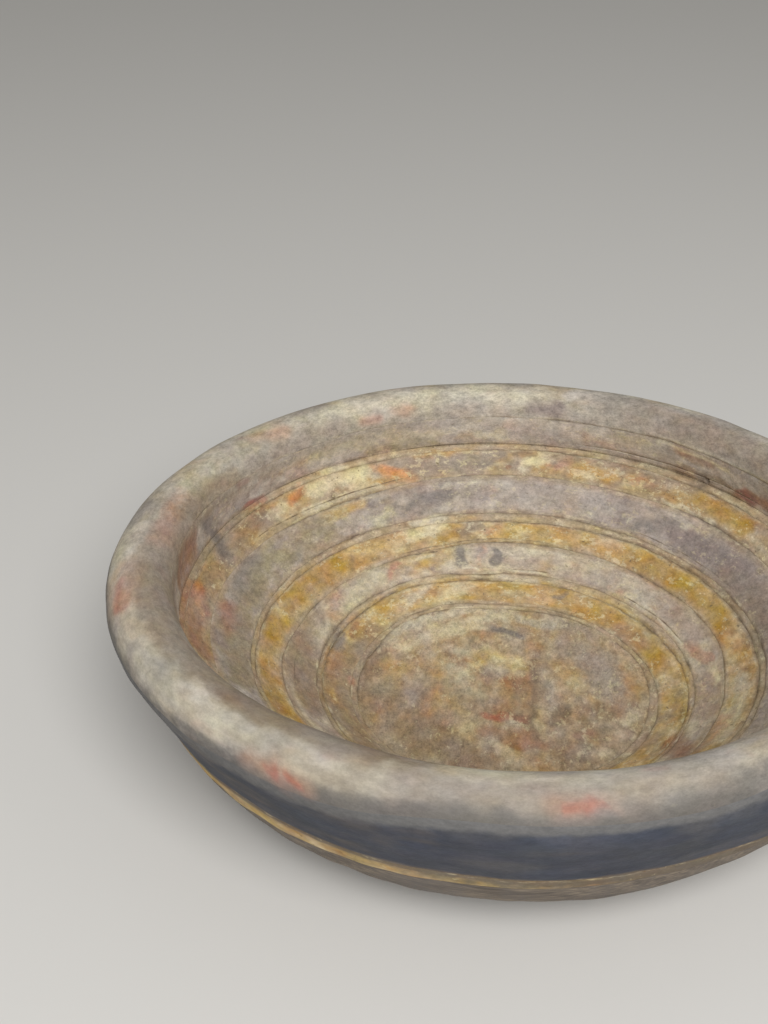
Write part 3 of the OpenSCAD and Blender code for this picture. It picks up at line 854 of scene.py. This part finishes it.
# %% Mix the paints
paints = {
    "floor_ground": earth_paint(
        "Brown_earth_paint_brushed_thin", ["#796857", "#907e68", "#a49076", "#b6a286", "#cab89a"],
        [("#b08f5c", 16, 0.49, 0.7), ("#8d817c", 20, 0.56, 0.6), ("#9f775f", 12, 0.60, 0.55),
         ("#c9b999", 9, 0.57, 0.55), ("#7c6e63", 8, 0.61, 0.5)], cloud_mm=10, grain=0.3,
        stretch=(1.0, 0.62, 1.0), crust=0.4),
    "cream_strip": earth_paint(
        "Cream_chalk_paint_brushed_thin", ["#8a775c", "#a28f70", "#b5a27f", "#c7b693", "#d6c8a9"],
        [("#ae935f", 12, 0.52, 0.55), ("#988c81", 14, 0.56, 0.5)], cloud_mm=8),
    "ochre": earth_paint(
        "Yellow_ochre_paint_brushed_thin", ["#866c4b", "#a28656", "#b99d69", "#ceb584", "#e0cda1"],
        [("#b08945", 14, 0.49, 0.6), ("#dccfa4", 8, 0.57, 0.55), ("#b17d50", 11, 0.61, 0.5),
         ("#9b8f7e", 13, 0.60, 0.45), ("#c9a566", 6, 0.54, 0.4)], cloud_mm=8, dust="#b39f80"),
    "grey_wash": earth_paint(
        "Grey_chalk_wash_brushed_thin", ["#8d7c6d", "#a39382", "#b5a692", "#c6b8a1", "#d5c9b1"],
        [("#d2c7ac", 10, 0.54, 0.55), ("#978d89", 14, 0.54, 0.55), ("#bca174", 11, 0.58, 0.5),
         ("#b38771", 10, 0.63, 0.5)], cloud_mm=9, dust="#b0a08a", crust=0.35),
    "mauve_wash": earth_paint(
        "Mauve_earth_wash_brushed_thin", ["#7c6f67", "#93877c", "#a69a8e", "#b8ac9f", "#c9beb0"],
        [("#8c8486", 15, 0.52, 0.5), ("#c7beae", 9, 0.55, 0.55), ("#b69d74", 12, 0.58, 0.5),
         ("#a07b6a", 10, 0.63, 0.45)], cloud_mm=10, dust="#ab9c8e", crust=0.3),
    "patchy_ochre": earth_paint(
        "Patchy_ochre_paint_rubbed_back", ["#7e694e", "#9a8260", "#b09975", "#c4af8b", "#d6c8a5"],
        [("#b88d49", 12, 0.51, 0.65), ("#dbcfa8", 8, 0.55, 0.6), ("#968b83", 14, 0.54, 0.65),
         ("#bf7c56", 9, 0.62, 0.5)], cloud_mm=8),
    "pale_wash": earth_paint(
        "Pale_chalk_wash_handled_smooth", ["#867c6e", "#9c9384", "#afa696", "#c0b8a7", "#d0c9b8"],
        [("#959090", 16, 0.53, 0.5), ("#cec6ae", 12, 0.54, 0.5), ("#b09a74", 14, 0.57, 0.5),
         ("#ac867a", 12, 0.62, 0.45)], cloud_mm=14, rough=0.78, grain=0.3, dust="#a69c8c",
        stretch=(0.6, 0.6, 1.0), crust=0.06),
    "slate_wash": earth_paint(
        "Slate_wash_brushed_over_wood", ["#2f3138", "#373a44", "#40434c", "#4c4d55", "#5c5a5e"],
        [("#6a6663", 18, 0.57, 0.45), ("#474c5b", 18, 0.52, 0.55), ("#7a6d5e", 14, 0.64, 0.35)],
        cloud_mm=14, rough=0.74, grain=0.3, dust="#404249", stretch=(0.5, 0.5, 1.0), crust=0.0),
}
print(len(paints), "paints:", ", ".join(m.name for m in paints.values()))

# %% [markdown]
# ## Old dry hardwood
# Bare wood shows inside the lines and on the outside below the ochre stripe. It is dry and grey-brown,
# cut with a gouge and handled for years. Growth rings are drawn by a wave texture round the
# heart of the log, which lay above the bowl, and long fibres by a stretched noise.

# %% The wood's tree of nodes
RING_MM = 6.0  # width of a growth ring
bare_wood, tree = new_material("Dry_hardwood_cut_with_a_gouge")
where = add(tree, "TexCoord")["Object"]
edge = add(tree, "Attribute", attribute_name="edge_mm")["Fac"]
heart = add(tree, "Mapping", {"Vector": where, "Location": (0.0, 0.02, -0.16)})["Vector"]
growth = add(tree, "TexWave", {
    "Vector": heart, "Scale": 0.314 / (RING_MM * MM), "Distortion": 7.0, "Detail": 3.0,
    "Detail Scale": 0.35, "Detail Roughness": 0.6}, wave_type="RINGS", rings_direction="X")["Fac"]
fibre_way = add(tree, "Mapping", {"Vector": where, "Scale": (0.07, 1.0, 1.0)})["Vector"]
fibres = add(tree, "TexNoise", {
    "Vector": fibre_way, "Scale": per(1.1), "Detail": 4.0, "Roughness": 0.65})["Fac"]
stain = add(tree, "TexNoise", {
    "Vector": where, "Scale": per(32), "Detail": 6.0, "Roughness": 0.65, "Distortion": 0.4})["Fac"]
tone, relief = [add(tree, "Math", [growth, share, fibres], operation="MULTIPLY_ADD")[0]
                for share in (0.07, 0.1)]
colour = add(tree, "ValToRGB", {"Fac": tone}, [
    (0.40, "#534a41"), (0.52, "#6c6156"), (0.62, "#827667"), (0.76, "#9a8b77")])["Color"]
shade = add(tree, "MapRange", [stain, 0.45, 0.66, 0, 0.6])[0]
dirt = add(tree, "MapRange", [edge, 1.2, 0.1, 0, 0.9], **SOFT)[0]
for cover, hue in ((shade, "#6a6563"), (dirt, DIRT)):
    over = (*linear(hue), 1)
    colour = add(tree, "Mix", {FACTOR: cover, FROM: colour, TO: over}, data_type="RGBA")[MIXED]
roughness = add(tree, "MapRange", [fibres, 0.3, 0.7, 0.62, 0.85])[0]
normal = add(tree, "Bump", {"Height": relief, "Strength": 0.6, "Distance": 0.5 * MM})["Normal"]
shader = add(tree, "BsdfPrincipled", {
    "Base Color": colour, "Roughness": roughness, "IOR": 1.5, "Normal": normal})["BSDF"]
add(tree, "OutputMaterial", {"Surface": shader})
print("wood:", bare_wood.name)

# %% [markdown]
# ## The wood
# The wood's mesh follows the section just under the coats, dips into every scribed line, comes to the
# surface below the ochre stripe and turns under to the flat base, whose edge is worn round.

# %% Rows of the wood under the paint
LOOSE = 0.02  # mm between a coat and its seat
LINE_DEPTH = 0.1  # mm that a line goes below the seats beside it


def hole_shares(first, last):
    """Extra rows through the holes of a strip, as shares of its width."""
    shares = []
    for azimuth, s, size, depth in holes:
        column = np.abs(from_azimuth(azimuth)).argmin()
        a, b = first[column], last[column]
        for step in (-1.2, -0.8, -0.4, 0, 0.4, 0.8, 1.2):
            share = (s + step * size - a) / (b - a)
            if 0.01 < share < 0.99:
                shares.append(share)
    return shares


def seat_shares(width):
    """Rows of a coat's seat, closer together where it dips towards a line."""
    ease = VALLEY_W / width if width > 3 * VALLEY_W else 0.5
    return np.unique([0, ease / 2, 1 - ease / 2, 1, *np.linspace(ease, 1 - ease, int(width / 5) + 1)])


wood_rows, wood_edge = [], []
for name, (first, last) in coats.items():
    width = float(np.mean(last - first))
    shares = np.unique(np.concatenate([seat_shares(width), hole_shares(first, last)]))
    if name == "slate_coat":
        # Its first row is the last one under the rim's wash
        shares = shares[1:]
    for share in shares:
        s = first + share * (last - first)
        wood_rows.append(carved(s, coat_t + LOOSE + sunk(name, s)))
        wood_edge.append(zero + (0.4 if share in (0, 1) else 3.0))
    line = lines_beside[name][1]
    if line:
        wood_rows.append(carved(lines[line]["s"], coat_t + LINE_DEPTH + sunk(name, last)))
        wood_edge.append(zero)

# %% Rows of the bare belly and the base
EASE_UP, EASE_IN = 2.2, 1.6  # mm of worn edge round the base, up the belly and under it
HOLLOW = 0.25  # mm that the middle of the base is hollowed
belly_shares = np.concatenate([np.linspace(0, 1, 34), hole_shares(stripe_end, zero + along[-1])])
for share in np.unique(belly_shares):
    s = stripe_end + share * (along[-1] - EASE_UP - stripe_end)
    wood_rows.append(carved(s))
    wood_edge.append(0.4 + s - stripe_end)
edge_r, edge_z = np.hypot(wood_rows[-1][:, 0], wood_rows[-1][:, 1]), wood_rows[-1][:, 2]
for turn_share in (0.3, 0.6, 1.0):
    angle = turn_share * math.pi / 2
    wood_rows.append(around(edge_r - EASE_IN * (1 - math.cos(angle)), edge_z * (1 - math.sin(angle))))
    wood_edge.append(zero + 9.0)
for share in (0.96, 0.9, 0.8, 0.66, 0.5, 0.33, 0.16, 0.0):
    wood_rows.append(around(share * (edge_r - EASE_IN), HOLLOW * (1 - share)))
    wood_edge.append(zero + 9.0)

# %% Build the wood
# Most of it lies under paint, so every second column is enough, except beside the holes
BESIDE = 1.5  # degrees
beside_hole = np.min([np.abs(from_azimuth(hole[0])) for hole in holes], axis=0) < BESIDE
kept = beside_hole | (np.arange(len(azimuths)) % 2 == 0)
wood = build("wood", np.array(wood_rows)[:, kept], False, bare_wood,
             {"edge_mm": np.array(wood_edge)[:, kept].ravel()})
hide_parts("bowl_body")
print("wood:", len(wood.data.vertices), "vertices,", len(wood.data.polygons), "faces")

# %% [markdown]
# ## The coats, one ring at a time
# Each coat's face follows the section between its two edges. Rows crowd together at the edges, where
# the paint dips by a few tenths of a millimetre, and at scratches and holes. The ring attribute holds
# the coat unrolled to a cylinder, so that a noise read through it can be stretched along the ring or
# across it, the way the brush went.

# %% Build every coat
ROW_MM = 1.15  # between rows of a coat's face
HANDLED = ("rim_coat", "slate_coat", "shoulder_stripe_coat")
for name, (first, last) in coats.items():
    width = float(np.mean(last - first))
    own_scratches = [s for s in scratches if s[0] == name]
    steps = np.linspace(0, 1, max(7, int(width / ROW_MM) + 1))
    by_edge = [0.35 / width, 0.8 / width, 1 - 0.35 / width, 1 - 0.8 / width] if width > 3 else []
    extra = [(s[1] + d) / width for s in own_scratches for d in (-0.6, -0.3, 0, 0.3, 0.6)]
    shares = np.concatenate([steps, by_edge, extra, hole_shares(first, last)])
    shares = np.unique(np.round(shares, 5))
    shares = shares[(shares >= 0) & (shares <= 1)]
    rows, edge_rows, s_rows = [], [], []
    for share in shares:
        s = first + share * (last - first)
        to_edge, depth = to_line(name, s), sunk(name, s)
        # Scratches and holes count as edges too, so that dirt gathers in them
        for scratch in own_scratches:
            cut = scratch_depth(scratch, s, first)
            depth = depth + cut
            to_edge = np.minimum(to_edge, 3 * (1 - smooth(0, 0.16, cut)) + 0.15)
        for azimuth, hole_s, size, hole_depth in holes:
            away = np.hypot(np.radians(from_azimuth(azimuth)) * at(s)[0], s - hole_s)
            to_edge = np.minimum(to_edge, away / size * 0.45)
        rows.append(carved(s, depth))
        edge_rows.append(to_edge)
        s_rows.append(s)
    for share in seat_shares(width)[::-1]:
        s = first + share * (last - first)
        rows.append(carved(s, coat_t + sunk(name, s)))
        edge_rows.append(zero + (0.2 if share in (0, 1) else 3.0))
        s_rows.append(s)
    s_rows = np.array(s_rows)
    r, z, _, _ = at(s_rows)
    true = around(r, z).reshape(-1, 3)
    ring = true if name == "floor_coat" else around(r.mean() + 0 * s_rows, s_rows)
    # Hands have worn the front of the outside smooth, and rubbed the crust off the left wall
    worn = (near(-100, 75) if name in HANDLED else near(-168, 36)) + 0 * s_rows
    coarse = 1 - 0.55 * worn if name in HANDLED else 1 + 0 * worn
    tint, crust = tinted(name, s_rows, true)
    attributes = {
        "edge_mm": np.concatenate(edge_rows), "ring": ring.reshape(-1, 3) * MM,
        "coarse": coarse.ravel(), "dab": tint, "crust": crust - 0.6 * worn.ravel(),
    }
    piece = build(name.replace("_coat", "_paint"), rows, name != "floor_coat", paints[slot_of[name]],
                  attributes)
    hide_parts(name)
    print(f"{piece.name:22s} {len(piece.data.polygons):6d} faces")

# %% [markdown]
# ## Floor, light and camera
# The bowl stands on a plain pale floor. One large soft lamp in front, a little to the right, gives the
# form its shading, and an even sky lights the hollows.

# %% A pale floor
plain_floor, tree = new_material("Pale_matt_floor")
soft = add(tree, "TexNoise", {"Scale": 3.0, "Detail": 2.0})["Fac"]
colour = add(tree, "ValToRGB", {"Fac": soft}, [(0.3, "#d6d4d0"), (0.7, "#dad8d4")])["Color"]
shader = add(tree, "BsdfPrincipled", {
    "Base Color": colour, "Roughness": 0.9, "Specular IOR Level": 0.1})["BSDF"]
add(tree, "OutputMaterial", {"Surface": shader})
REACH = 40.0  # metres to each side, so that no edge shows
mesh = bpy.data.meshes.new("floor")
corners = [(-REACH, -REACH, 0), (REACH, -REACH, 0), (REACH, REACH, 0), (-REACH, REACH, 0)]
mesh.from_pydata(corners, [], [(0, 1, 2, 3)])
mesh.materials.append(plain_floor)
floor = bpy.data.objects.new("floor", mesh)
bpy.context.scene.collection.objects.link(floor)

# %% Lamp and sky
lamp = bpy.data.lights.new("key", "AREA")
lamp.shape, lamp.size, lamp.energy = "DISK", 1.2, 31.0
key = bpy.data.objects.new("key", lamp)
lamp_place, aim = Vector((0.324, -1.299, 1.278)), Vector((0, 0, 0.03))
key.location = lamp_place
key.rotation_euler = (aim - lamp_place).to_track_quat("-Z", "Y").to_euler()
bpy.context.scene.collection.objects.link(key)

world = bpy.data.worlds.new("even_sky")
bpy.context.scene.world = world
world.use_nodes = True
sky = world.node_tree.nodes["Background"]
sky.inputs["Color"].default_value = (*linear("#f4f3f0"), 1)
sky.inputs["Strength"].default_value = 0.38
bpy.context.scene.view_settings.view_transform = "Standard"

# %% The camera
# The picture is 768 by 1024, and the lens gives 1400 pixels of focal length on its long side.
LONG_SIDE, FOCAL = 1024, 1400
view = bpy.data.cameras.new("view")
view.sensor_width = 36.0
view.lens = FOCAL / LONG_SIDE * view.sensor_width
camera = bpy.data.objects.new("view", view)
camera.location = (0.0, -0.4839, 0.3688)
camera.rotation_euler = (math.radians(90 - 29.40), 0.0, math.radians(5.97))
bpy.context.scene.collection.objects.link(camera)
bpy.context.scene.camera = camera
print("lens", round(view.lens, 2), "mm")
